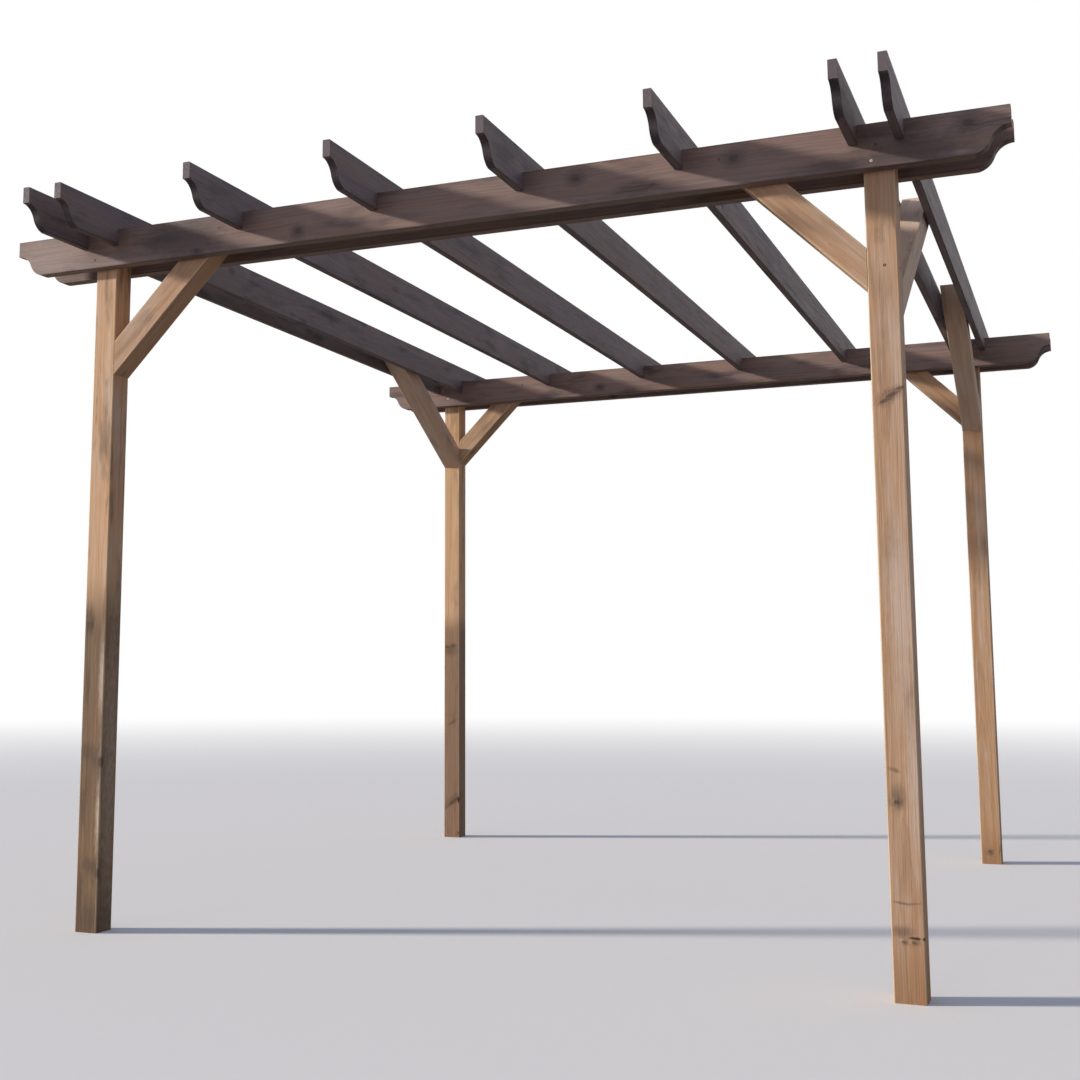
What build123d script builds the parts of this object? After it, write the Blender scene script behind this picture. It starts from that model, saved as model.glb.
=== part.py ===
from build123d import *
from math import sqrt
import os

os.makedirs("parts", exist_ok=True)

# Frame: millimetres, level ground at z = 0, centre of the plan at the origin,
# front towards -Y, right towards +X.

# Plan and heights
post_spacing_x = 2950.0
post_spacing_y = 3350.0
headroom = 2520.0
header_overhang = 350.0
rafter_overhang = 400.0

# Timber sections, with rounded arrises along the grain
post_size = 95.0
post_arris = 4.0
board_depth = 145.0
header_thickness = 45.0
rafter_thickness = 28.0
board_arris = 2.5
brace_depth = 95.0
brace_arris = 3.0

# Shaped lower corner of every board end
tip_height = 60.0
ogee_run = 122.0

# Rafters
rafter_bays = 5
rafter_clearance = 10.0
notch_depth = 65.0
notch_play = 1.0

# Knee braces, as wide as the posts: rise for each unit of reach, and how far the foot of
# each one lies below the top of the timbers that it props
cross_brace_slope = 1.0
cross_drop_front_left = 565.0
cross_drop_front_right = 520.0
cross_drop_rear_left = 490.0
cross_drop_rear_right = 440.0
cross_brace_drops = {
    ("front", "left"): cross_drop_front_left,
    ("front", "right"): cross_drop_front_right,
    ("rear", "left"): cross_drop_rear_left,
    ("rear", "right"): cross_drop_rear_right,
}
depth_brace_slope = 0.6
depth_drop_front_right = 675.0
depth_drop_rear_left = 590.0
depth_drop_rear_right = 555.0
depth_brace_drops = {
    ("front", "right"): depth_drop_front_right,
    ("rear", "left"): depth_drop_rear_left,
    ("rear", "right"): depth_drop_rear_right,
}

# Positions that follow from the sizes above
half_post = post_size / 2
post_x = post_spacing_x / 2
post_y = post_spacing_y / 2
header_top = headroom + board_depth
header_half_length = post_x + half_post + header_overhang
rafter_half_length = post_y + half_post + rafter_overhang
rafter_bottom = header_top - notch_depth
pair_offset = half_post + rafter_clearance
rafter_top = rafter_bottom + board_depth
header_middle = half_post + header_thickness / 2

sides = {"left": -1, "right": 1}
rows = {"front": -1, "rear": 1}


def board_outline(half_length, bottom):
    """Face of a board with the same cove and round cut into both lower corners."""
    top = bottom + board_depth
    tip = top - tip_height
    toe = half_length - ogee_run
    turn = half_length - ogee_run / 2
    turn_height = (tip + bottom) / 2
    with BuildLine() as outline:
        Line((-half_length, top), (half_length, top))
        Line((-toe, bottom), (toe, bottom))
        for end in (-1, 1):
            Line((end * half_length, top), (end * half_length, tip))
            cove = TangentArc(
                (end * half_length, tip), (end * turn, turn_height), tangent=(-end, 0)
            )
            TangentArc(cove @ 1, (end * toe, bottom), tangent=cove % 1)
    make_face(outline.edges())


def brace_outline(face, direction, top, drop, slope):
    """Face of a knee brace: plumb cut against the post, level cut at the top."""
    upright = brace_depth * sqrt(1 + slope**2)
    foot = top - drop
    reach = drop / slope
    short_reach = reach - upright / slope
    with BuildLine() as outline:
        Polyline(
            (face, foot),
            (face + direction * reach, top),
            (face + direction * short_reach, top),
            (face, foot + upright),
            close=True,
        )
    make_face(outline.edges())


def sloping_edges(piece):
    """Long edges of a knee brace, the only ones along none of the axes."""
    level_or_plumb = [edge for axis in (Axis.X, Axis.Y, Axis.Z) for edge in piece.edges().filter_by(axis)]
    return piece.edges() - ShapeList(level_or_plumb)


# Posts, square, standing on the ground and reaching the top of the header boards
for row, y_sign in rows.items():
    for side, x_sign in sides.items():
        with BuildPart() as post:
            with BuildSketch(Plane.XY):
                with Locations((x_sign * post_x, y_sign * post_y)):
                    Rectangle(post_size, post_size)
            extrude(amount=header_top)
            fillet(post.edges().filter_by(Axis.Z), radius=post_arris)
        post.part.label = f"post_{row}_{side}"
        export_step(post.part, f"parts/{post.part.label}.step")

# Header boards, a pair clamping the posts of each row from outside and inside: a
# rounded blank along X, then its ends cut to shape
for row, y_sign in rows.items():
    for layer, offset in {"outer": 1, "inner": -1}.items():
        outward = y_sign * offset
        middle = y_sign * post_y + outward * header_middle
        with BuildPart() as header:
            with BuildSketch(Plane.YZ.offset(-header_half_length)):
                with Locations((middle, headroom + board_depth / 2)):
                    RectangleRounded(header_thickness, board_depth, board_arris)
            extrude(amount=2 * header_half_length)
            with BuildSketch(Plane.XZ.offset(-middle)):
                board_outline(header_half_length, headroom)
            extrude(amount=header_thickness, both=True, mode=Mode.INTERSECT)
        header.part.label = f"header_{row}_{layer}"
        export_step(header.part, f"parts/{header.part.label}.step")

# Rafters, left faces in order from the left: a pair beside each row of posts and
# four evenly spaced between the two pairs. Each is a rounded blank along Y, then its
# ends and the notches over the header boards are cut.
first_inner = -post_x + pair_offset
last_inner = post_x - pair_offset - rafter_thickness
bay = (last_inner - first_inner) / rafter_bays
rafter_faces = {"left_outer": -post_x - pair_offset - rafter_thickness}
rafter_faces["left_inner"] = first_inner
for number in range(1, rafter_bays):
    rafter_faces[f"middle_{number}"] = first_inner + number * bay
rafter_faces["right_inner"] = last_inner
rafter_faces["right_outer"] = post_x + pair_offset

notch_centres = [
    (y_sign * post_y + offset * header_middle, rafter_bottom + notch_depth / 2)
    for y_sign in rows.values()
    for offset in (-1, 1)
]

for place, left_face in rafter_faces.items():
    middle = left_face + rafter_thickness / 2
    with BuildPart() as rafter:
        with BuildSketch(Plane.XZ.offset(-rafter_half_length)):
            with Locations((middle, rafter_bottom + board_depth / 2)):
                RectangleRounded(rafter_thickness, board_depth, board_arris)
        extrude(amount=2 * rafter_half_length)
        with BuildSketch(Plane.YZ.offset(middle)):
            board_outline(rafter_half_length, rafter_bottom)
            with Locations(*notch_centres):
                Rectangle(header_thickness + 2 * notch_play, notch_depth, mode=Mode.SUBTRACT)
        extrude(amount=rafter_thickness, both=True, mode=Mode.INTERSECT)
    rafter.part.label = f"rafter_{place}"
    export_step(rafter.part, f"parts/{rafter.part.label}.step")

# Crosswise knee braces, from each post's inner side up between its two header boards
for (row, side), drop in cross_brace_drops.items():
    back_face = rows[row] * post_y + half_post
    with BuildPart() as brace:
        with BuildSketch(Plane.XZ.offset(-back_face)):
            brace_outline(
                sides[side] * (post_x - half_post), -sides[side],
                header_top, drop, cross_brace_slope,
            )
        extrude(amount=post_size)
        fillet(sloping_edges(brace), radius=brace_arris)
    brace.part.label = f"cross_brace_{row}_{side}"
    export_step(brace.part, f"parts/{brace.part.label}.step")

# Depthwise knee braces, from three of the posts up between the paired rafters
for (row, side), drop in depth_brace_drops.items():
    with BuildPart() as brace:
        with BuildSketch(Plane.YZ.offset(sides[side] * post_x - half_post)):
            brace_outline(
                rows[row] * (post_y - half_post), -rows[row],
                rafter_top, drop, depth_brace_slope,
            )
        extrude(amount=post_size)
        fillet(sloping_edges(brace), radius=brace_arris)
    brace.part.label = f"depth_brace_{row}_{side}"
    export_step(brace.part, f"parts/{brace.part.label}.step")
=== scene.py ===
"""Looks of a free-standing timber pergola: its wood, its screws, the light and the camera."""

import logging
import math
import random
from dataclasses import dataclass, replace
from enum import Enum
from itertools import product
from typing import ClassVar

import bmesh
import bpy
from mathutils import Matrix, Vector


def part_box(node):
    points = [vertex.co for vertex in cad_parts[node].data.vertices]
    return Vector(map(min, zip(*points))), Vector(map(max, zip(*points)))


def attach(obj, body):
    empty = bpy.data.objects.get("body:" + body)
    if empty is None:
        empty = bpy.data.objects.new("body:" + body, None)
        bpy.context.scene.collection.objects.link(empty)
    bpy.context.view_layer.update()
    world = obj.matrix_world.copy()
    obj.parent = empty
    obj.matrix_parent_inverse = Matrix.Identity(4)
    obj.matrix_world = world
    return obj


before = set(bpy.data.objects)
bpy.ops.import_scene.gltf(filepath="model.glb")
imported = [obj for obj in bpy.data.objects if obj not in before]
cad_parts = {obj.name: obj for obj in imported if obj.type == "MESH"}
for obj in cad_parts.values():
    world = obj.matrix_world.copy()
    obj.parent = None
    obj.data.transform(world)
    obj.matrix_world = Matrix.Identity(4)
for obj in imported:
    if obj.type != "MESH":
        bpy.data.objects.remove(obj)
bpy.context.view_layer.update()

LOG = logging.getLogger("pergola")
MM = 0.001
ROWS = ("front", "rear")
SIDES = ("left", "right")
LAYERS = ("outer", "inner")
# First seeds of each kind of timber, for the heart of the stem and for the grain.
SEEDS = {"post": (0, 10), "header": (100, 20), "rafter": (200, 30), "brace": (300, 40)}
# What a timber's seed of grain is raised by to pick its share of streaks.
SHARE_SEED = 1000
SMOOTH = {"interpolation_type": "SMOOTHSTEP"}
WHITE = (1.0, 1.0, 1.0, 1.0)

Colour = tuple[float, float, float, float]
Source = bpy.types.Node | bpy.types.NodeSocket
# A point on a timber's face, and the face's outward direction.
Place = tuple[Vector, Vector]
# Places on a board at a post: how far across from the post's middle, how far above the board's
# lower edge, both in mm, and whether the head is pale zinc as a painted glint, else brown as painted
# shade.
Spots = tuple[tuple[float, float, bool], ...]


def linear(hex_colour: str) -> Colour:
    """Turns an sRGB hex colour into the linear colour that shaders take.

    Args:
        hex_colour: Six hex digits, with or without a leading hash.

    Returns:
        Red, green, blue and an alpha of 1, all linear.
    """
    digits = hex_colour.lstrip("#")
    channels = [int(digits[i : i + 2], 16) / 255 for i in (0, 2, 4)]
    red, green, blue = (c / 12.92 if c <= 0.04045 else ((c + 0.055) / 1.055) ** 2.4 for c in channels)
    return red, green, blue, 1.0


def add(
    tree: bpy.types.NodeTree, kind: str, settings: dict | None = None, links: dict | None = None
) -> bpy.types.Node:
    """Adds a shader node with its settings and its incoming links.

    Args:
        tree: Node tree that gets the node.
        kind: Blender's type name of the node, without its first word, ShaderNode.
        settings: Node properties, or socket values by socket name or index.
        links: What to join, by the name or index of the input that it feeds: an output socket, or a
            node for its first output in use.

    Returns:
        The new node.
    """
    node = tree.nodes.new("ShaderNode" + kind)
    for key, value in (settings or {}).items():
        if isinstance(key, str) and hasattr(node, key):
            setattr(node, key, value)
        else:
            node.inputs[key].default_value = value
    for key, source in (links or {}).items():
        if isinstance(source, bpy.types.Node):
            source = next(socket for socket in source.outputs if socket.enabled)
        tree.links.new(source, node.inputs[key])
    return node


def blank_material(name: str) -> bpy.types.Material:
    """Makes a material with no nodes."""
    material = bpy.data.materials.new(name)
    material.use_nodes = True
    material.node_tree.nodes.clear()
    return material


def as_mesh(name: str, shape: bmesh.types.BMesh) -> bpy.types.Mesh:
    """Turns a finished shape into a mesh, and frees the shape."""
    mesh = bpy.data.meshes.new(name)
    shape.to_mesh(mesh)
    shape.free()
    return mesh


def in_scene(name: str, data: bpy.types.ID) -> bpy.types.Object:
    """Puts an object with the given data into the scene."""
    piece = bpy.data.objects.new(name, data)
    bpy.context.scene.collection.objects.link(piece)
    return piece


class Side(Enum):
    """A face of the pergola, by its outward direction."""

    FRONT = Vector((0, -1, 0))
    REAR = Vector((0, 1, 0))
    LEFT = Vector((-1, 0, 0))
    RIGHT = Vector((1, 0, 0))
    TOP = Vector((0, 0, 1))


class MarkKind(Enum):
    """What a mark on the wood is.

    The grain bends round a knot, a stain is dark, a pale mark shows faded wood in some places and painted
    light in others, and a split is open.
    """

    KNOT = "knot"
    STAIN = "stain"
    BLEACHED = "bleached"
    SPLIT = "split"


KNOT, STAIN, BLEACHED, SPLIT = MarkKind


class Pattern(Enum):
    """A pattern in the wood: its length along the grain and its width in mm, and its octaves.

    Fibres are really under 1 mm wide and drying cracks about 1 mm; both are drawn wider, because
    a pixel covers 3 to 6 mm of the frame.
    """

    BAND = (1300.0, 38.0, 3.0)
    STREAK = (460.0, 15.0, 3.0)
    FIBRE = (170.0, 4.0, 2.0)
    PATCH = (260.0, 60.0, 3.0)
    CLOUD = (420.0, 110.0, 2.0)
    WANDER = (1400.0, 400.0, 1.0)
    WAVE = (260.0, 60.0, 1.0)
    RAGGED = (30.0, 14.0, 2.0)
    CRACK = (1500.0, 50.0, 0.0)
    CRACK_REACH = (620.0, 90.0, 0.0)


@dataclass(frozen=True)
class Mark:
    """A mark at a known place on a timber's face.

    Attributes:
        kind: What it is.
        at_mm: Its middle on the face, in the row frame.
        across_mm: Its radius across the grain.
        along_mm: Its radius along the grain.
        tilt_deg: Its turn on the face, anticlockwise as seen from outside, where it slants.
    """

    kind: MarkKind
    at_mm: tuple[float, float, float]
    across_mm: float = 10.0
    along_mm: float = 13.0
    tilt_deg: float = 0.0


Marks = tuple[Mark, ...]


@dataclass(frozen=True)
class SoftwoodFinish:
    """A finish on planed softwood, as colours and real sizes that the wood shader draws.

    Attributes:
        name: Plain name of the finish.
        slot: Material slot of the record; not used.
        earlywood, latewood: Colours of the pale and the dark part of a growth ring.
        warm, bleached, smudge_and_shade: Colours of the resinous streaks, of the faded streaks and the
            pale marks, some of which are painted light, and of the dirty patches, which also serve as
            painted shade on cut faces and on some marks.
        knot, check, end_grain, damp_and_shade, painted_edge: Colours of those places; painted_edge is the
        line along the long edges, a painted highlight on the pine and painted shade on the stained boards.
        ring_mm: Width of a growth ring.
        ring_share, warm_share, bleached_share, smudge_share: Most that those colours cover, from 0 to 1.
        check_share, damp_and_shade_share, painted_edge_share: The same for cracks, the wet foot with the
        painted shade on the lower part of some posts, and the rounded edges.
        roughness: Roughness of the planed face.
        damp_and_shade_height_mm: How far up from the ground the wood is darkened: stained by water at the
            foot, and on the two left posts painted shade over the lower part.
        damp_and_shade_fade_mm: Height over which that darkening grows to its full share.
    """

    name: str
    slot: str
    earlywood: str
    latewood: str
    warm: str
    bleached: str
    smudge_and_shade: str
    knot: str
    check: str
    end_grain: str
    damp_and_shade: str
    painted_edge: str
    ring_mm: float
    ring_share: float
    warm_share: float
    bleached_share: float
    smudge_share: float
    check_share: float
    damp_and_shade_share: float
    painted_edge_share: float
    roughness: float
    damp_and_shade_height_mm: float
    damp_and_shade_fade_mm: float


# Pressure-treated pine, planed and a season old: dull pinkish tan in soft streaks, browner
# latewood, bleached clouds, grey dirt about the knots, matt, and orange at the damp foot. Rings
# are really 3 to 5 mm wide; 8 mm still shows.
TREATED_PINE = SoftwoodFinish(
    name="pressure_treated_pine",
    slot="frame_timber",
    earlywood="#C6A181",
    latewood="#98704F",
    warm="#BC865A",
    bleached="#D2BBA6",
    smudge_and_shade="#7B6452",
    knot="#54392A",
    check="#33241C",
    end_grain="#957459",
    damp_and_shade="#936538",
    # Pale edge line: painted highlight.
    painted_edge="#E2CBA8",
    ring_mm=8.0,
    ring_share=0.25,
    warm_share=0.5,
    bleached_share=0.6,
    smudge_share=0.5,
    check_share=0.6,
    damp_and_shade_share=0.5,
    painted_edge_share=0.6,
    roughness=0.7,
    damp_and_shade_height_mm=260.0,
    damp_and_shade_fade_mm=240.0,
)

# The same pine under a thin dark brown woodstain: purplish grey-brown, with streaks where
# the stain took unevenly, a little smoother, and painted darkest on the sawn curves, as painted shade.
STAINED_PINE = SoftwoodFinish(
    name="dark_stained_pine",
    slot="stained_board",
    earlywood="#89746D",
    latewood="#5B4B4A",
    warm="#97755F",
    bleached="#A39089",
    smudge_and_shade="#463B3D",
    knot="#33292B",
    check="#221C1E",
    end_grain="#7A6B67",
    damp_and_shade="#5A4840",
    # Dark edge line: painted shade.
    painted_edge="#473D3F",
    ring_mm=10.0,
    ring_share=0.26,
    warm_share=0.6,
    bleached_share=0.4,
    smudge_share=0.7,
    check_share=0.3,
    damp_and_shade_share=0.0,
    painted_edge_share=0.5,
    roughness=0.62,
    damp_and_shade_height_mm=40.0,
    damp_and_shade_fade_mm=20.0,
)
# The rafters are darker and greyer, with more dark clouds.
STAINED_PINE_GREYER = replace(
    STAINED_PINE,
    name="dark_stained_pine_greyer",
    earlywood="#766A6F",
    latewood="#483E43",
    warm="#816C63",
    bleached="#928589",
    smudge_and_shade="#3A3338",
    end_grain="#6F6468",
    smudge_share=0.9,
)


@dataclass(frozen=True)
class Timber:
    """One length of timber: where it lies and which way its grain runs.

    Attributes:
        node: Its CAD node.
        centre: Middle of its section, half way along, in metres.
        grain: Unit direction along its length.
        wide: Unit direction across its wide face.
        depth: Size along wide, in metres.
        thickness: Size across both, in metres.
        pith_mm: Where the heart of the stem lies in its section, along wide and through the thickness.
    """

    node: str
    centre: Vector
    grain: Vector
    wide: Vector
    depth: float
    thickness: float
    pith_mm: tuple[float, float]

    @property
    def turn(self) -> Matrix:
        """Rotation from the timber's own axes, grain first, to the row frame."""
        return Matrix((self.grain, self.wide, self.grain.cross(self.wide))).transposed()

    def local(self, point: Vector) -> Vector:
        """Gives a point of the row frame in the timber's own axes."""
        return self.turn.transposed() @ (point - self.centre)

    @classmethod
    def straight(cls, node: str, grain: Side, wide: Side, pith_mm: tuple[float, float]) -> "Timber":
        """Measures by its CAD node a timber that lies along an axis.

        Args:
            node: Its CAD node.
            grain: The way that it runs.
            wide: The way across its wide face.
            pith_mm: Where the heart of the stem lies in its section.

        Returns:
            The timber.
        """
        low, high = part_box(node)
        across = (wide.value, grain.value.cross(wide.value))
        depth, thickness = (abs((high - low).dot(way)) for way in across)
        return cls(node, (low + high) / 2, grain.value, wide.value, depth, thickness, pith_mm)


class WoodShader:
    """Draws one timber's wood through its whole thickness, so that faces, edges and cut ends agree."""

    # How far a timber's patterns are shifted along each axis at most, in metres, so that no two agree.
    SHIFT = 40.0
    # Room for each of the scattered knots, and its radii, in mm along and across the grain.
    KNOT_ROOM_MM = (560.0, 120.0, 120.0)
    KNOT_RADII_MM = (13.0, 9.0, 9.0)
    # How far the growth rings are pushed out round a knot.
    KNOT_BULGE_MM = 11.0
    # How far the heart of the stem strays from a straight line, in long bends and in short ones.
    SWAYS_MM = ((Pattern.WANDER, 22.0), (Pattern.WAVE, 3.0))
    # How far the rim of a mark is ragged either way at most, in its radii.
    RAGGEDNESS = 0.7
    # How much smoother and rougher than its finish a face is, from streak to streak.
    STREAK_ROUGHNESS = (-0.07, 0.1)

    def __init__(self, timber: Timber, finish: SoftwoodFinish, seed: int, marks: Marks = ()) -> None:
        """Keeps what the shader draws, and draws its patterns along the timber's own grain.

        Args:
            timber: The timber that it covers.
            finish: The finish on it.
            seed: Number that picks this timber's own grain.
            marks: Marks at known places.
        """
        self.timber = timber
        self.finish = finish
        self.marks = marks
        self.material = blank_material(f"{finish.name}_{timber.node}")
        self.tree = self.material.node_tree
        chance = random.Random(seed)
        shift = Vector([chance.uniform(-self.SHIFT, self.SHIFT) for _ in range(3)])
        self.place = add(self.tree, "TexCoord")
        turned = {"vector_type": "TEXTURE", "Location": timber.centre, "Rotation": timber.turn.to_euler()}
        self.own = add(self.tree, "Mapping", turned, {"Vector": self.place.outputs["Object"]})
        self.scattered = add(self.tree, "VectorMath", {"operation": "ADD", 1: shift}, {0: self.own})
        self.drawn = self.draw_patterns()

    def draw_patterns(self) -> dict[Pattern, bpy.types.Node]:
        """Draws every pattern, stretched along the grain.

        Returns:
            The noise of each pattern, about 0.5 on average.
        """
        drawn = {}
        for pattern in Pattern:
            length_mm, width_mm, octaves = pattern.value
            per_metre = (1 / (length_mm * MM), 1 / (width_mm * MM), 1 / (width_mm * MM))
            stretch = {"operation": "MULTIPLY", 1: per_metre}
            stretched = add(self.tree, "VectorMath", stretch, {0: self.scattered})
            settings = {"Scale": 1.0, "Detail": octaves, "Roughness": 0.55}
            drawn[pattern] = add(self.tree, "TexNoise", settings, {"Vector": stretched})
        return drawn

    def build(self) -> bpy.types.Material:
        """Joins the patterns, colours, relief and gloss.

        Returns:
            The finished material.
        """
        finish = self.finish
        knots = self.nearest(KNOT, self.scattered_knots())
        splits = self.nearest(SPLIT)
        rings = self.rings(knots)
        cracks = self.cracks()
        colour = self.colour(knots, splits, rings, cracks)

        # Pattern, value from which the relief starts, value at which it is full, and its height in mm.
        reliefs = [
            (self.drawn[Pattern.FIBRE], 0.2, 0.8, 0.5),
            (rings, 0.2, 0.95, 0.25),
            (knots, 2.5, 0.8, 1.2),
            (cracks, 0.0, 1.0, -2.5 * finish.check_share),
        ]
        if splits:
            reliefs.append((splits, 1.3, 0.4, -2.5))
        height = None
        for pattern, start, full, rise_mm in reliefs:
            settings = SMOOTH | {"From Min": start, "From Max": full, "To Max": rise_mm * MM}
            step = add(self.tree, "MapRange", settings, {"Value": pattern})
            if height:
                step = add(self.tree, "Math", {"operation": "ADD"}, {0: height, 1: step})
            height = step
        bump = add(self.tree, "Bump", {"Strength": 1.0, "Distance": 1.0}, {"Height": height})

        smoothest, roughest = (finish.roughness + change for change in self.STREAK_ROUGHNESS)
        spread = {"From Min": 0.3, "From Max": 0.7, "To Min": smoothest, "To Max": roughest}
        rough = add(self.tree, "MapRange", spread, {"Value": self.drawn[Pattern.STREAK]})
        links = {"Base Color": colour, "Roughness": rough, "Normal": bump}
        shader = add(self.tree, "BsdfPrincipled", {"IOR": 1.5, "Specular IOR Level": 0.35}, links)
        add(self.tree, "OutputMaterial", {}, {"Surface": shader})
        return self.material

    def colour(self, knots: Source, splits: Source | None, rings: Source, cracks: Source) -> Source:
        """Lays the finish's colours over its earlywood, the lowest first.

        Args:
            knots: Distance from the nearest knot, in its radii.
            splits: Distance from the nearest split, where there is one.
            rings: Place in the growth ring, from 0 to 1.
            cracks: 1 on the drying cracks and 0 beside them.

        Returns:
            The colour.
        """
        finish = self.finish
        streak = self.drawn[Pattern.STREAK]
        height = add(self.tree, "SeparateXYZ", {}, {0: self.place.outputs["Object"]}).outputs["Z"]
        damp_and_shade_top = finish.damp_and_shade_height_mm * MM
        damp_and_shade_full = (finish.damp_and_shade_height_mm - finish.damp_and_shade_fade_mm) * MM
        cut = self.across()
        # Pattern, its value where the colour starts to show and where it shows most, the colour, and
        # the most that it covers.
        layers = [
            (rings, 0.2, 0.95, finish.latewood, finish.ring_share),
            (self.drawn[Pattern.BAND], 0.42, 0.68, finish.warm, finish.warm_share),
            (self.drawn[Pattern.CLOUD], 0.5, 0.75, finish.bleached, finish.bleached_share),
            (streak, 0.52, 0.75, finish.bleached, finish.bleached_share * 0.8),
            (self.drawn[Pattern.PATCH], 0.5, 0.76, finish.smudge_and_shade, finish.smudge_share),
            # Darker from the ground up: wet at the foot, and painted shade over the lower part of the two
            # left posts.
            (height, damp_and_shade_top, damp_and_shade_full, finish.damp_and_shade, finish.damp_and_shade_share),
            (streak, 0.48, 0.3, finish.latewood, 0.33),
            (self.drawn[Pattern.FIBRE], 0.5, 0.75, finish.latewood, 0.15),
            (knots, 4.0, 1.0, finish.smudge_and_shade, finish.smudge_share * 0.8),
        ]
        stains = self.nearest(STAIN)
        if stains:
            layers.append((stains, 2.1, 0.3, finish.smudge_and_shade, 0.75))
        # Pale marks: faded wood, and in places painted light.
        bleached = self.nearest(BLEACHED)
        if bleached:
            layers.append((bleached, 2.1, 0.0, finish.bleached, 0.7))
        layers += [
            # Line along the long edges, pale on the pine as a painted highlight and dark on the stained
            # boards as painted shade.
            (self.painted_edge(), 7 * MM, 1 * MM, finish.painted_edge, finish.painted_edge_share),
            (knots, 1.35, 0.6, finish.knot, 0.62),
            # Faces cut slanting or square across the grain are darkened, such as the sawn curves at the
            # board ends: painted shade.
            (cut, 0.1, 0.35, finish.smudge_and_shade, 0.75),
            (cut, 0.93, 0.98, finish.end_grain, 0.75),
            (cracks, 0.0, 1.0, finish.check, 0.9 * finish.check_share),
        ]
        if splits:
            layers.append((splits, 1.3, 0.4, finish.check, 0.9))
        shown = None
        for pattern, start, full, colour, most in layers:
            settings = SMOOTH | {"From Min": start, "From Max": full, "To Max": most}
            links = {0: add(self.tree, "MapRange", settings, {"Value": pattern})}
            if shown:
                links[6] = shown
            colours = {"data_type": "RGBA", 6: linear(finish.earlywood), 7: linear(colour)}
            shown = add(self.tree, "Mix", colours, links)
        return shown

    def scattered_knots(self) -> Source:
        """Measures how far a point is from the nearest of the scattered knots.

        Returns:
            The distance, 1 at the knot's rim.
        """
        rooms = {"operation": "MULTIPLY", 1: [1 / (size * MM) for size in self.KNOT_ROOM_MM]}
        scaled = add(self.tree, "VectorMath", rooms, {0: self.scattered})
        cells = add(self.tree, "TexVoronoi", {"Scale": 1.0}, {"Vector": scaled})
        links = {0: scaled, 1: cells.outputs["Position"]}
        apart = add(self.tree, "VectorMath", {"operation": "SUBTRACT"}, links)
        radii = [room / radius for room, radius in zip(self.KNOT_ROOM_MM, self.KNOT_RADII_MM)]
        in_radii = add(self.tree, "VectorMath", {"operation": "MULTIPLY", 1: radii}, {0: apart})
        distance = add(self.tree, "VectorMath", {"operation": "LENGTH"}, {0: in_radii})
        # Many of them come out too small to see, and the largest grow past their radii.
        sizes = {"From Min": 0.45, "From Max": 0.9, "To Min": 0.05, "To Max": 1.3}
        size = add(self.tree, "MapRange", sizes, {"Value": cells.outputs["Color"]})
        return add(self.tree, "Math", {"operation": "DIVIDE"}, {0: distance, 1: size})

    def nearest(self, kind: MarkKind, others: Source | None = None) -> Source | None:
        """Measures how far a point is from the nearest mark of a kind, with a ragged rim.

        Args:
            kind: The kind of mark.
            others: Distance from marks of that kind that are not at known places.

        Returns:
            The distance in the mark's radii, 1 at its rim, or nothing where there are none.
        """
        least = others
        for mark in self.marks:
            if mark.kind is not kind:
                continue
            own_axes = {
                "vector_type": "TEXTURE",
                "Location": self.timber.local(Vector(mark.at_mm) * MM),
                "Rotation": (0.0, 0.0, math.radians(-mark.tilt_deg)),
                "Scale": Vector((mark.along_mm, mark.across_mm, mark.across_mm)) * MM,
            }
            share = add(self.tree, "Mapping", own_axes, {"Vector": self.own})
            distance = add(self.tree, "VectorMath", {"operation": "LENGTH"}, {0: share})
            links = {0: least, 1: distance}
            least = add(self.tree, "Math", {"operation": "MINIMUM"}, links) if least else distance
        if least is None:
            return None
        spread = {"operation": "MULTIPLY_ADD", 1: 2 * self.RAGGEDNESS, 2: -self.RAGGEDNESS}
        ragged = add(self.tree, "Math", spread, {0: self.drawn[Pattern.RAGGED]})
        return add(self.tree, "Math", {"operation": "ADD"}, {0: least, 1: ragged})

    def rings(self, knots: Source) -> Source:
        """Draws growth rings round the heart of the stem, which wanders and bends round knots.

        Args:
            knots: Distance from the nearest knot.

        Returns:
            Place in the growth ring, from 0 to 1.
        """
        pith = Vector((0.0, *self.timber.pith_mm)) * MM
        bent = add(self.tree, "VectorMath", {"operation": "SUBTRACT", 1: pith}, {0: self.own})
        for pattern, reach_mm in self.SWAYS_MM:
            # Noise swings about 0.25 round 0.5, so it is widened four times to fill the reach.
            reach = Vector((0, reach_mm, reach_mm)) * MM
            swayed = {"operation": "MULTIPLY_ADD", 1: 4 * reach, 2: -2 * reach}
            sway = add(self.tree, "VectorMath", swayed, {0: self.drawn[pattern].outputs["Color"]})
            bent = add(self.tree, "VectorMath", {"operation": "ADD"}, {0: bent, 1: sway})
        section = add(self.tree, "VectorMath", {"operation": "MULTIPLY", 1: (0, 1, 1)}, {0: bent})
        radius = add(self.tree, "VectorMath", {"operation": "LENGTH"}, {0: section})
        bulge = SMOOTH | {"From Min": 0.5, "From Max": 4.5, "To Min": self.KNOT_BULGE_MM * MM, "To Max": 0}
        grown = add(self.tree, "MapRange", bulge, {"Value": knots})
        pushed = add(self.tree, "Math", {"operation": "ADD"}, {0: radius, 1: grown})
        width = {"operation": "DIVIDE", 1: self.finish.ring_mm * MM}
        counted = add(self.tree, "Math", width, {0: pushed})
        return add(self.tree, "Math", {"operation": "FRACT"}, {0: counted})

    def cracks(self) -> Source:
        """Draws drying cracks along the grain, which run out at both ends.

        Returns:
            1 on the cracks and 0 beside them.
        """
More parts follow.
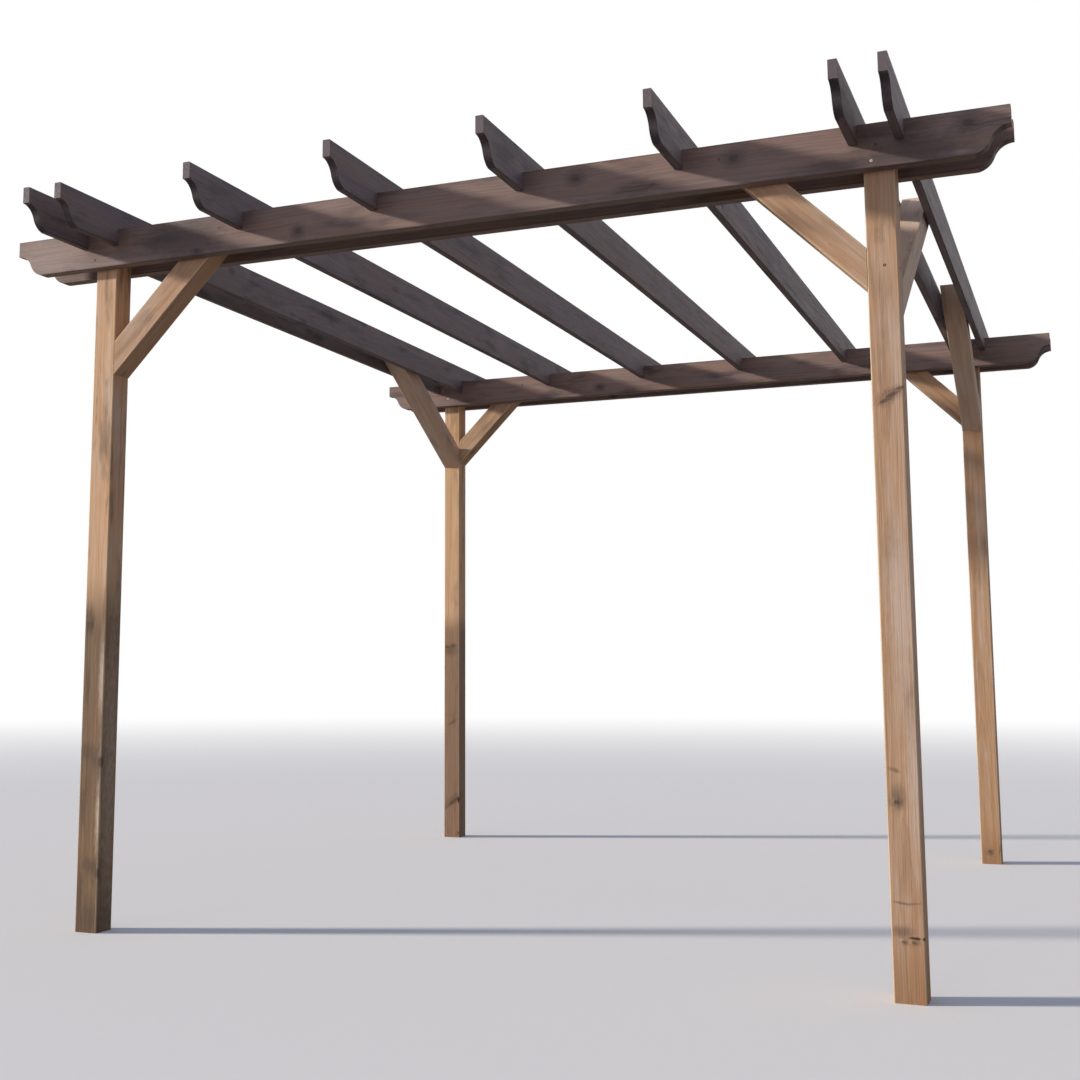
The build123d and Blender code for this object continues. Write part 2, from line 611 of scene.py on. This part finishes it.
        # A crack follows the line on which its noise is at its middle value.
        middle = {"operation": "SUBTRACT", 1: 0.5}
        centred = add(self.tree, "Math", middle, {0: self.drawn[Pattern.CRACK]})
        apart = add(self.tree, "Math", {"operation": "ABSOLUTE"}, {0: centred})
        lines = SMOOTH | {"From Min": 0.014, "From Max": 0.003}
        line = add(self.tree, "MapRange", lines, {"Value": apart})
        reaches = SMOOTH | {"From Min": 0.6, "From Max": 0.7}
        reach = add(self.tree, "MapRange", reaches, {"Value": self.drawn[Pattern.CRACK_REACH]})
        return add(self.tree, "Math", {"operation": "MULTIPLY"}, {0: line, 1: reach})

    def across(self) -> Source:
        """Measures how squarely a face is cut across the grain.

        Returns:
            0 along the grain to 1 square across it.
        """
        along = {"operation": "DOT_PRODUCT", 1: self.timber.grain}
        cut = add(self.tree, "VectorMath", along, {0: self.place.outputs["Normal"]})
        return add(self.tree, "Math", {"operation": "ABSOLUTE"}, {0: cut})

    def painted_edge(self) -> Source:
        """Measures how far a point is from the nearest long edge.

        Returns:
            The distance in metres, by the farther of the edge's two faces.
        """
        half = (0.0, self.timber.depth / 2, self.timber.thickness / 2)
        folded = add(self.tree, "VectorMath", {"operation": "ABSOLUTE"}, {0: self.own})
        inward = add(self.tree, "VectorMath", {"operation": "SUBTRACT", 0: half}, {1: folded})
        parts = add(self.tree, "SeparateXYZ", {}, {0: inward})
        links = {0: parts.outputs["Y"], 1: parts.outputs["Z"]}
        return add(self.tree, "Math", {"operation": "MAXIMUM"}, links)


def boxed_heart(seed: int, most_mm: float) -> tuple[float, float]:
    """Picks where the heart lies in a timber's section, at most so far from the middle."""
    chance = random.Random(seed)
    return chance.uniform(-1, 1) * most_mm, chance.uniform(-1, 1) * most_mm


def flat_sawn_heart(seed: int, rise_mm: float, away_mm: float) -> tuple[float, float]:
    """Picks where the heart lies beside a board, so far away and at most so far up or down."""
    chance = random.Random(seed)
    return chance.uniform(-rise_mm, rise_mm), chance.choice((-1, 1)) * away_mm


def dress(timber: Timber, finish: SoftwoodFinish, seed: int, marks: Marks = ()) -> None:
    """Gives a CAD timber its wood, each with its own share of streaks.

    Args:
        timber: The timber.
        finish: The finish on it.
        seed: Number that picks its own grain.
        marks: Marks at known places.
    """
    chance = random.Random(SHARE_SEED + seed)
    own_finish = replace(
        finish,
        warm_share=finish.warm_share * chance.uniform(0.6, 1.3),
        bleached_share=finish.bleached_share * chance.uniform(0.7, 1.3),
        smudge_share=finish.smudge_share * chance.uniform(0.8, 1.2),
    )
    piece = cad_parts[timber.node]
    material = WoodShader(timber, own_finish, seed, marks).build()
    piece.data.materials.clear()
    piece.data.materials.append(material)
    LOG.info("dressed %s in %s", timber.node, finish.name)


@dataclass(frozen=True)
class Posts:
    """The four square posts, cut with the heart of the stem inside them.

    Attributes:
        finish: Finish of the posts.
        heart_mm: How far the heart of the stem lies from the middle of the section, at most.
    """

    finish: SoftwoodFinish = TREATED_PINE
    heart_mm: float = 22.0

    # The two left posts are painted paler as painted sunlight on their upper parts, and dark below as
    # painted shade, which on the front left post is partly dirt too.
    OWN_FINISHES: ClassVar[dict[str, SoftwoodFinish]] = {
        "post_front_left": replace(
            TREATED_PINE,
            # Paler wood: painted sunlight on the upper part.
            earlywood="#DBB38E",
            latewood="#B0845E",
            warm="#D29C6A",
            bleached="#E0CAB2",
            smudge_and_shade="#5E4A3B",
            smudge_share=0.8,
            # Dark lower part: painted shade, partly dirt.
            damp_and_shade="#655038",
            damp_and_shade_share=0.85,
            damp_and_shade_height_mm=1360.0,
            damp_and_shade_fade_mm=260.0,
        ),
        "post_front_right": replace(TREATED_PINE, bleached="#D3BFAE"),
        "post_rear_left": replace(
            TREATED_PINE,
            # Paler wood: painted sunlight on the upper part.
            earlywood="#DCB48A",
            latewood="#A97C57",
            smudge_and_shade="#66513F",
            smudge_share=0.6,
            # Dark lower part: painted shade.
            damp_and_shade="#6A5245",
            damp_and_shade_share=0.72,
            damp_and_shade_height_mm=1310.0,
            damp_and_shade_fade_mm=150.0,
        ),
        "post_rear_right": replace(TREATED_PINE, earlywood="#C69E79", smudge_share=0.6),
    }
    MARKS: ClassVar[dict[str, Marks]] = {
        "post_front_right": (
            Mark(KNOT, (1510, -1722.5, 1826), 15, 4, 14),
            Mark(KNOT, (1486, -1722.5, 1808), 17, 4, 30),
            Mark(KNOT, (1462, -1722.5, 1790), 12, 3, 20),
            Mark(STAIN, (1484, -1722.5, 1806), 34, 16, 28),
            Mark(BLEACHED, (1492, -1722.5, 1140), 30, 190),
            Mark(BLEACHED, (1510, -1722.5, 640), 17, 190),
            Mark(STAIN, (1452, -1722.5, 672), 14, 5, -22),
            Mark(STAIN, (1462, -1722.5, 592), 17, 26),
            Mark(KNOT, (1456, -1722.5, 578), 8, 5, 10),
            Mark(STAIN, (1463, -1722.5, 286), 20, 2.5, -8),
            Mark(STAIN, (1495, -1722.5, 286), 20, 2, 5),
            Mark(STAIN, (1458, -1722.5, 205), 26, 12),
            Mark(KNOT, (1463, -1722.5, 176), 6, 4),
            Mark(KNOT, (1492, -1722.5, 176), 7, 4),
            Mark(SPLIT, (1499, -1722.5, 187), 17, 4, -3),
            Mark(SPLIT, (1522, -1720, 186), 5, 5),
        ),
        "post_front_left": (
            Mark(STAIN, (-1502, -1722.5, 1150), 16, 42),
            Mark(KNOT, (-1502, -1722.5, 1138), 9, 14),
            Mark(BLEACHED, (-1436, -1722.5, 930), 9, 110),
            Mark(STAIN, (-1500, -1722.5, 905), 7, 60),
            # Paler right face: painted light on the side turned from the key light.
            Mark(BLEACHED, (-1375, -1665, 640), 50, 480),
            Mark(STAIN, (-1490, -1722.5, 660), 26, 24),
            Mark(STAIN, (-1432, -1715, 640), 34, 26, 12),
            Mark(KNOT, (-1430, -1720, 622), 13, 20),
            Mark(STAIN, (-1502, -1722.5, 460), 8, 70),
            Mark(BLEACHED, (-1434, -1722.5, 420), 9, 95),
            Mark(STAIN, (-1440, -1718, 238), 44, 20, -10),
            Mark(KNOT, (-1428, -1720, 218), 12, 18),
            Mark(STAIN, (-1508, -1722.5, 120), 14, 90),
            Mark(STAIN, (-1427.5, -1680, 90), 24, 70),
            Mark(STAIN, (-1470, -1722.5, 40), 60, 60),
        ),
        "post_rear_left": (
            Mark(KNOT, (-1506, 1627.5, 1094), 9, 5),
            Mark(KNOT, (-1469, 1627.5, 1101), 13, 5),
            Mark(STAIN, (-1485, 1627.5, 1075), 34, 24),
            Mark(STAIN, (-1470, 1627.5, 655), 24, 6, 30),
            Mark(KNOT, (-1464, 1627.5, 208), 34, 6, 38),
            Mark(STAIN, (-1464, 1627.5, 214), 40, 16, 38),
            Mark(SPLIT, (-1427.5, 1629, 212), 6, 20),
            Mark(KNOT, (-1434, 1627.5, 28), 7, 7),
        ),
        "post_rear_right": (Mark(KNOT, (1468, 1627.5, 60), 8, 8),),
    }

    def dress(self) -> None:
        """Dresses the posts."""
        heart_seed, grain_seed = SEEDS["post"]
        for number, (row, side) in enumerate(product(ROWS, SIDES)):
            name = f"post_{row}_{side}"
            heart = boxed_heart(heart_seed + number, self.heart_mm)
            timber = Timber.straight(name, Side.TOP, Side.RIGHT, heart)
            finish = self.OWN_FINISHES.get(name, self.finish)
            dress(timber, finish, grain_seed + number, self.MARKS.get(name, ()))


@dataclass(frozen=True)
class Headers:
    """The four header boards, flat sawn from beside the heart.

    Attributes:
        finish: Finish of the boards.
        heart_mm: How far the heart of the stem lies from the middle of the board, before or behind it.
        heart_rise_mm: How far it lies above or below that middle, at most.
    """

    finish: SoftwoodFinish = STAINED_PINE
    heart_mm: float = 70.0
    heart_rise_mm: float = 40.0

    MARKS: ClassVar[dict[str, Marks]] = {
        "header_front_outer": (
            Mark(KNOT, (1027, -1767.5, 2613), 12, 16),
            Mark(KNOT, (485, -1767.5, 2618), 11, 15),
            Mark(KNOT, (1748, -1767.5, 2622), 12, 16),
            Mark(KNOT, (-590, -1767.5, 2562), 10, 13),
            Mark(KNOT, (-1029, -1767.5, 2536), 8, 11),
            # Darker here: partly a real stain, partly painted shade.
            Mark(STAIN, (-1090, -1767.5, 2600), 60, 150, 4),
            Mark(STAIN, (1580, -1767.5, 2560), 40, 120),
            # Pale patch at the left end: painted sunlight.
            Mark(BLEACHED, (-1720, -1767.5, 2590), 60, 130),
            Mark(BLEACHED, (1727, -1767.5, 2534), 6, 20),
        ),
    }

    def dress(self) -> None:
        """Dresses the header boards."""
        heart_seed, grain_seed = SEEDS["header"]
        for number, (row, layer) in enumerate(product(ROWS, LAYERS)):
            name = f"header_{row}_{layer}"
            heart = flat_sawn_heart(heart_seed + number, self.heart_rise_mm, self.heart_mm)
            timber = Timber.straight(name, Side.RIGHT, Side.TOP, heart)
            dress(timber, self.finish, grain_seed + number, self.MARKS.get(name, ()))


@dataclass(frozen=True)
class Rafters:
    """The eight rafters, flat sawn from beside the heart.

    Attributes:
        finish: Finish of the rafters.
        heart_mm: How far the heart of the stem lies from the middle of the rafter, to its left or right.
        heart_rise_mm: How far it lies above or below that middle, at most.
    """

    finish: SoftwoodFinish = STAINED_PINE_GREYER
    heart_mm: float = 60.0
    heart_rise_mm: float = 50.0

    NAMES: ClassVar[tuple[str, ...]] = (
        "rafter_left_outer",
        "rafter_left_inner",
        *(f"rafter_middle_{number}" for number in range(1, 5)),
        "rafter_right_inner",
        "rafter_right_outer",
    )
    MARKS: ClassVar[dict[str, Marks]] = {
        "rafter_middle_3": (
            Mark(BLEACHED, (294.7, -1800, 2690), 9, 34, -8),
            Mark(STAIN, (294.7, -1930, 2680), 30, 70),
        ),
        "rafter_middle_4": (
            Mark(BLEACHED, (856.1, -1880, 2700), 10, 55, -8),
            Mark(BLEACHED, (856.1, -1975, 2728), 6, 30),
        ),
    }

    def dress(self) -> None:
        """Dresses the rafters."""
        heart_seed, grain_seed = SEEDS["rafter"]
        for number, name in enumerate(self.NAMES):
            heart = flat_sawn_heart(heart_seed + number, self.heart_rise_mm, self.heart_mm)
            timber = Timber.straight(name, Side.REAR, Side.TOP, heart)
            dress(timber, self.finish, grain_seed + number, self.MARKS.get(name, ()))


@dataclass(frozen=True)
class KneeBraces:
    """The knee braces, four crosswise and three depthwise, of the same timber as the posts.

    Attributes:
        finish: Finish of the crosswise braces.
        painted_light_depth_finish: Finish of the depthwise braces, painted paler and pinker as painted
            light on their undersides, and with fewer cracks.
        heart_mm: How far the heart of the stem lies from the middle of the section, at most.
    """

    finish: SoftwoodFinish = replace(TREATED_PINE, check_share=0.2, ring_share=0.18)
    # Paler, pinker wood: painted light on the braces' undersides.
    painted_light_depth_finish: SoftwoodFinish = replace(
        TREATED_PINE,
        earlywood="#DABDA7",
        latewood="#B49077",
        warm="#C9A284",
        bleached="#DACABB",
        check_share=0.1,
        ring_share=0.15,
    )
    heart_mm: float = 30.0

    NAMES: ClassVar[tuple[str, ...]] = (
        *(f"cross_brace_{row}_{side}" for row, side in product(ROWS, SIDES)),
        "depth_brace_front_right",
        "depth_brace_rear_left",
        "depth_brace_rear_right",
    )

    def dress(self) -> None:
        """Dresses the knee braces."""
        post_low, post_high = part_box("post_front_left")
        section = post_high.x - post_low.x
        heart_seed, grain_seed = SEEDS["brace"]
        for number, name in enumerate(self.NAMES):
            low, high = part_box(name)
            middle = (low + high) / 2
            size = high - low
            depthwise = name.startswith("depth")
            reach = Vector((-math.copysign(size.x, middle.x), 0, 0))
            if depthwise:
                reach = Vector((0, -math.copysign(size.y, middle.y), 0))
            level = reach.normalized()
            grain = (reach + Vector((0, 0, size.z))).normalized()
            # Its cuts are plumb and level, so the middle of its box is on its lower face.
            plumb_cut = section / grain.dot(level)
            heart = boxed_heart(heart_seed + number, self.heart_mm)
            centre = middle + Vector((0, 0, plumb_cut / 2))
            wide = level.cross(Side.TOP.value).cross(grain)
            timber = Timber(name, centre, grain, wide, section, section, heart)
            dress(timber, self.painted_light_depth_finish if depthwise else self.finish, grain_seed + number)


@dataclass(frozen=True)
class SteelFinish:
    """A plated or coated steel.

    Attributes:
        name: Plain name of the finish.
        colour: sRGB hex colour.
        dull: sRGB hex colour where it has dulled.
        roughness: Roughness where it is still bright.
        dulling: How much rougher it is where it has dulled.
        blotches: Dulled blotches for each metre, about one in 3 mm.
    """

    name: str
    colour: str
    dull: str
    roughness: float
    dulling: float = 0.3
    blotches: float = 330.0

    def build(self) -> bpy.types.Material:
        """Makes the material.

        Returns:
            Metal with dulled blotches.
        """
        material = blank_material(self.name)
        tree = material.node_tree
        place = add(tree, "TexCoord")
        noise = {"Scale": self.blotches, "Detail": 2.0}
        cloud = add(tree, "TexNoise", noise, {"Vector": place.outputs["Object"]})
        colours = {"data_type": "RGBA", 6: linear(self.colour), 7: linear(self.dull)}
        colour = add(tree, "Mix", colours, {0: cloud})
        spread = {"To Min": self.roughness, "To Max": self.roughness + self.dulling}
        rough = add(tree, "MapRange", spread, {"Value": cloud})
        links = {"Base Color": colour, "Roughness": rough}
        shader = add(tree, "BsdfPrincipled", {"Metallic": 1.0}, links)
        add(tree, "OutputMaterial", {}, {"Surface": shader})
        return material


# Zinc-plated steel: pale grey, half dull after a season outdoors, so a head shows as a light dot; only
# heads where a glint shows get it, as a painted glint.
ZINC_PLATED = SteelFinish("zinc_plated_steel", "#E2DCCB", "#A9A292", 0.45)
# Brown-coated decking screw, which hardly shows in the timber; header screws of the zinc ones' kind get it
# where no glint shows, as painted shade.
BROWN_COATED = SteelFinish("brown_coated_steel", "#6A5140", "#44342B", 0.5)


@dataclass(frozen=True)
class ScrewHead:
    """A countersunk screw head that stands a little proud, with a star-shaped drive.

    Attributes:
        radius: Radius of the head, in metres.
        neck_share: Radius of its cone's inner end, as a share of the head's.
        sunk: How deep its cone goes into the timber.
        proud: How far its rim stands out.
        rounding: Width of the bevel round its rim.
        drive: Radius of the drive.
        valley_share: Radius between the drive's points, as a share of the drive's.
        drive_depth: Depth of the drive.
        corners: Corners of the head's outline, twice the points of the drive.
    """

    radius: float = 5.0 * MM
    neck_share: float = 0.55
    sunk: float = 2.5 * MM
    proud: float = 0.6 * MM
    rounding: float = 0.5 * MM
    drive: float = 2.4 * MM
    valley_share: float = 0.68
    drive_depth: float = 1.6 * MM
    corners: int = 12

    def build(self) -> bpy.types.Mesh:
        """Models one head about the origin, facing +Z.

        Returns:
            The mesh.
        """
        head = bmesh.new()
        bmesh.ops.create_cone(
            head,
            cap_ends=True,
            segments=self.corners,
            radius1=self.radius * self.neck_share,
            radius2=self.radius,
            depth=self.sunk + self.proud,
        )
        bmesh.ops.translate(head, verts=head.verts, vec=(0, 0, (self.proud - self.sunk) / 2))
        top = max(head.faces, key=lambda face: face.calc_center_median().z)
        rim = list(top.edges)
        bmesh.ops.bevel(
            head, geom=rim, offset=self.rounding, affect="EDGES", segments=1, profile=0.5, material=-1
        )
        top = max(head.faces, key=lambda face: (face.normal.z, face.calc_area()))
        rim_width = self.radius - self.rounding - self.drive
        bmesh.ops.inset_region(head, faces=[top], thickness=rim_width)
        for valley in list(top.verts)[::2]:
            valley.co.xy *= self.valley_share
        pit = bmesh.ops.extrude_discrete_faces(head, faces=[top])["faces"][0]
        bmesh.ops.translate(head, verts=pit.verts, vec=(0, 0, -self.drive_depth))
        bmesh.ops.recalc_face_normals(head, faces=head.faces)
        return as_mesh("screw_head", head)


def bare_face(board: str, place: str, layer: str) -> tuple[Vector, Vector]:
    """Finds the face of a paired board that is turned away from its posts.

    Args:
        board: Kind of board, header or rafter.
        place: Its row or its side.
        layer: Its place in the pair.

    Returns:
        A corner of the face, and its outward direction.
    """
    low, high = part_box(f"{board}_{place}_{layer}")
    low_side, high_side = (Side.FRONT, Side.REAR) if board == "header" else (Side.LEFT, Side.RIGHT)
    if (place in ("front", "left")) == (layer == "outer"):
        return low, low_side.value
    return high, high_side.value


@dataclass(frozen=True)
class Fixings:
    """The screws that hold the frame, as joined meshes of heads.

    Attributes:
        head: Shape of a screw head.
        header_spots: Usual screws of a header board at a post.
        cross_foot: How far above a crosswise brace's foot its screw goes through the post, in metres.
        cross_head: How far in from the brace's end, and above the board's lower edge, the header
            boards' screws go into its head.
        depth_foot: How far to the right of the post's middle, and above a depthwise brace's foot,
            its screw goes through the post.
        depth_head: How far in from the brace's end, and below its top, the rafters' screws go in.
    """

    head: ScrewHead = ScrewHead()
    header_spots: Spots = ((-24.0, 32.0, False), (22.0, 112.0, False))
    cross_foot: float = 70 * MM
    cross_head: tuple[float, float] = (70 * MM, 95 * MM)
    depth_foot: tuple[float, float] = (6 * MM, 147 * MM)
    depth_head: tuple[float, float] = (95 * MM, 35 * MM)

    # The screws that show, by row, side and layer of the board; a head marked True gets pale zinc as a
    # painted glint, the others brown as painted shade.
    SEEN: ClassVar[dict[tuple[str, str, str], Spots]] = {
        ("front", "right", "outer"): ((-17.0, 23.0, True), (-2.0, 73.0, False)),
        ("rear", "left", "inner"): ((-41.0, 89.0, True), (-7.0, 45.0, True)),
    }

    def build(self) -> None:
        """Makes the screws of each kind of joint."""
        brown = BROWN_COATED.build()
        self.group("header_screws_zinc", self.header_places(True), ZINC_PLATED.build())
        self.group("header_screws", self.header_places(False), brown)
        self.group("rafter_screws", self.rafter_places(), brown)
        self.group("brace_screws", self.brace_places(), brown)

    def group(self, name: str, places: list[Place], material: bpy.types.Material) -> None:
        """Joins one kind of screw into a piece.

        Args:
            name: Name of the piece.
            places: Where its screws are.
            material: Its metal.
        """
        pattern = self.head.build()
        joined = bmesh.new()
        chance = random.Random(name)
        for point, outward in places:
            before = len(joined.verts)
            joined.from_mesh(pattern)
            joined.verts.ensure_lookup_table()
            added = joined.verts[before:]
            spin = Matrix.Rotation(chance.uniform(0, math.tau), 3, "Z")
            facing = outward.to_track_quat("Z", "Y").to_matrix()
            bmesh.ops.rotate(joined, verts=added, cent=(0, 0, 0), matrix=facing @ spin)
            bmesh.ops.translate(joined, verts=added, vec=point)
        bpy.data.meshes.remove(pattern)
        mesh = as_mesh(name, joined)
        mesh.materials.append(material)
        piece = in_scene(name, mesh)
        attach(piece, "root")
        LOG.info("built %s, %d heads", name, len(places))

    def header_places(self, bright: bool) -> list[Place]:
        """Gives the screws through each header board into each post.

        Args:
            bright: Whether to give the pale zinc heads, painted glints, or the brown ones, painted shade.

        Returns:
            Where they are.
        """
        places = []
        for row, side, layer in product(ROWS, SIDES, LAYERS):
            post_low, post_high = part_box(f"post_{row}_{side}")
            middle = (post_low.x + post_high.x) / 2
            lower_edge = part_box(f"header_{row}_{layer}")[0].z
            face, outward = bare_face("header", row, layer)
            for across, above, is_painted_glint in self.SEEN.get((row, side, layer), self.header_spots):
                if is_painted_glint == bright:
                    point = Vector((middle + across * MM, face.y, lower_edge + above * MM))
                    places.append((point, outward))
        return places

    def rafter_places(self) -> list[Place]:
        """Gives the screws down through each rafter into each header board.

        Returns:
            Where they are.
        """
        places = []
        for rafter, row, layer in product(Rafters.NAMES, ROWS, LAYERS):
            low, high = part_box(rafter)
            board_low, board_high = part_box(f"header_{row}_{layer}")
            flush = high.z - self.head.proud
            point = Vector(((low.x + high.x) / 2, (board_low.y + board_high.y) / 2, flush))
            places.append((point, Side.TOP.value))
        return places

    def brace_places(self) -> list[Place]:
        """Gives the screws into the foot and into the head of each knee brace.

        Returns:
            Where they are.
        """
        places = []
        for name in KneeBraces.NAMES:
            kind, _, row, side = name.split("_")
            low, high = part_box(name)
            post_low, post_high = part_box(f"post_{row}_{side}")
            post = (post_low + post_high) / 2
            if kind == "cross":
                inward, above = self.cross_head
                face, outward, head_x = post_low.x, Side.LEFT.value, high.x - inward
                if side == "right":
                    face, outward, head_x = post_high.x, Side.RIGHT.value, low.x + inward
                places.append((Vector((face, post.y, low.z + self.cross_foot)), outward))
                for layer in LAYERS:
                    face, outward = bare_face("header", row, layer)
                    lower_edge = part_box(f"header_{row}_{layer}")[0].z
                    places.append((Vector((head_x, face.y, lower_edge + above)), outward))
            else:
                across, above = self.depth_foot
                inward, below = self.depth_head
                face, outward, head_y = post_low.y, Side.FRONT.value, high.y - inward
                if row == "rear":
                    face, outward, head_y = post_high.y, Side.REAR.value, low.y + inward
                places.append((Vector((post.x + across, face, low.z + above)), outward))
                for layer in LAYERS:
                    face, outward = bare_face("rafter", side, layer)
                    places.append((Vector((face.x, head_y, high.z - below)), outward))
        return places


@dataclass(frozen=True)
class PhotoCamera:
    """The camera where the photograph was taken, solved from the frame's corners.

    Attributes:
        location_mm: Where it stood.
        yaw, pitch, roll: Its turn to the right, up and about its own axis, in radians.
        focal_px: Focal length in pixels of the square picture.
        centre_px: Where its axis meets the picture.
        picture_px: Side of the picture.
        sensor_mm: Width of Blender's sensor.
        sight: How far it sees, in metres.
    """

    location_mm: tuple[float, float, float] = (2049.2, -6327.5, 977.3)
    yaw: float = -0.40674
    pitch: float = 0.13223
    roll: float = 0.00015
    focal_px: float = 1470.35
    centre_px: tuple[float, float] = (467.0, 471.0)
    picture_px: float = 1080.0
    sensor_mm: float = 36.0
    sight: float = 500.0

    def build(self) -> None:
        """Places the scene's camera."""
        data = bpy.data.cameras.new("photo_camera")
        data.sensor_width = self.sensor_mm
        data.lens = self.focal_px * self.sensor_mm / self.picture_px
        half = self.picture_px / 2
        across, down = self.centre_px
        data.shift_x = (half - across) / self.picture_px
        data.shift_y = (down - half) / self.picture_px
        data.clip_end = self.sight
        camera = in_scene("photo_camera", data)
        right = Vector((math.cos(self.yaw), -math.sin(self.yaw), 0))
        level = math.cos(self.pitch)
        ahead = Vector((math.sin(self.yaw) * level, math.cos(self.yaw) * level, math.sin(self.pitch)))
        up = right.cross(ahead)
        rolled_right = right * math.cos(self.roll) + up * math.sin(self.roll)
        rolled_up = up * math.cos(self.roll) - right * math.sin(self.roll)
        turn = Matrix((rolled_right, rolled_up, -ahead)).transposed().to_4x4()
        camera.matrix_world = Matrix.Translation(Vector(self.location_mm) * MM) @ turn
        bpy.context.scene.camera = camera
        LOG.info("placed the camera")


@dataclass(frozen=True)
class Lamp:
    """A distant lamp.

    Attributes:
        name: Its name.
        colour: sRGB hex colour of its light.
        strength: Strength of its light.
        angle: Angle that it fills, in degrees, which softens its shadows.
        direction: Way in which its light travels.
    """

    name: str
    colour: str
    strength: float
    angle: float
    direction: tuple[float, float, float]

    def build(self) -> None:
        """Places the lamp."""
        data = bpy.data.lights.new(self.name, "SUN")
        data.energy = self.strength
        data.angle = math.radians(self.angle)
        data.color = linear(self.colour)[:3]
        lamp = in_scene(self.name, data)
        lamp.rotation_euler = Vector(self.direction).to_track_quat("-Z", "Y").to_euler()


@dataclass(frozen=True)
class Studio:
    """Plain pale floor, white surround and soft light, its key from the left and its fill from the front.

    Attributes:
        floor_colour: sRGB hex colour of the floor as seen.
        bounce_colour: sRGB hex colour by which the floor throws light back, duller than it looks.
        floor_radius: Radius of the floor, in metres.
        floor_corners: Corners of the floor's outline.
        clear_radius: Radius within which the floor shows its own colour.
        white_radius: Radius from which it is white.
        sky_colour: sRGB hex colour of the even light from above.
        sky_strength: Strength of the even light from above.
        lamps: The key light and the fill light.
    """

    floor_colour: str = "#F6F5F2"
    bounce_colour: str = "#938D84"
    floor_radius: float = 60.0
    floor_corners: int = 96
    clear_radius: float = 6.0
    white_radius: float = 24.0
    sky_colour: str = "#D6E1FF"
    sky_strength: float = 0.36
    lamps: tuple[Lamp, ...] = (
        Lamp("key_light", "#FFF6EA", 4.0, 4.5, (2.4, 1.0, -0.87)),
        Lamp("fill_light", "#F4F2FF", 0.4, 20.0, (0.2, 1.0, -0.1)),
    )

    def build(self) -> None:
        """Makes the floor and the lights."""
        self.floor()
        self.world()
        for lamp in self.lamps:
            lamp.build()
        LOG.info("lit the studio")

    def floor(self) -> None:
        """Makes the floor, which is no part of the object."""
        disc = bmesh.new()
        bmesh.ops.create_circle(disc, cap_ends=True, radius=self.floor_radius, segments=self.floor_corners)
        mesh = as_mesh("studio_floor", disc)
        mesh.materials.append(self.floor_material())
        piece = in_scene("studio_floor", mesh)

    def floor_material(self) -> bpy.types.Material:
        """Makes the floor's matt paint, which fades to white far away.

        Returns:
            The material.
        """
        material = blank_material("studio_floor")
        tree = material.node_tree
        seen = add(tree, "LightPath").outputs["Is Camera Ray"]
        colours = {"data_type": "RGBA", 6: linear(self.bounce_colour), 7: linear(self.floor_colour)}
        colour = add(tree, "Mix", colours, {0: seen})
        matt = add(tree, "BsdfDiffuse", {}, {"Color": colour})
        white = add(tree, "Emission", {"Color": WHITE, "Strength": 1.0})
        place = add(tree, "TexCoord")
        away = add(tree, "VectorMath", {"operation": "LENGTH"}, {0: place.outputs["Object"]})
        reach = SMOOTH | {"From Min": self.clear_radius, "From Max": self.white_radius}
        far = add(tree, "MapRange", reach, {"Value": away})
        fade = add(tree, "Math", {"operation": "MULTIPLY"}, {0: far, 1: seen})
        shader = add(tree, "MixShader", {}, {0: fade, 1: matt, 2: white})
        add(tree, "OutputMaterial", {}, {"Surface": shader})
        return material

    def world(self) -> None:
        """Makes the even, slightly cool sky, white wherever it is looked at."""
        world = bpy.data.worlds.new("studio_sky")
        bpy.context.scene.world = world
        world.use_nodes = True
        tree = world.node_tree
        tree.nodes.clear()
        rays = add(tree, "LightPath").outputs
        shown = rays["Is Camera Ray"]
        for looked_at in (rays["Is Glossy Ray"], rays["Is Transmission Ray"]):
            shown = add(tree, "Math", {"operation": "MAXIMUM"}, {0: shown, 1: looked_at})
        spread = {"To Min": self.sky_strength, "To Max": 1.0}
        strength = add(tree, "MapRange", spread, {"Value": shown})
        colours = {"data_type": "RGBA", 6: linear(self.sky_colour), 7: WHITE}
        tint = add(tree, "Mix", colours, {0: shown})
        sky = add(tree, "Background", {}, {"Color": tint, "Strength": strength})
        add(tree, "OutputWorld", {}, {"Surface": sky})


def main() -> None:
    """Builds the looks of the pergola in order."""
    logging.basicConfig(level=logging.INFO, format="%(name)s: %(message)s")
    bpy.context.scene.view_settings.view_transform = "Standard"
    PhotoCamera().build()
    Studio().build()
    Posts().dress()
    Headers().dress()
    Rafters().dress()
    KneeBraces().dress()
    Fixings().build()


if __name__ == "__main__":
    main()
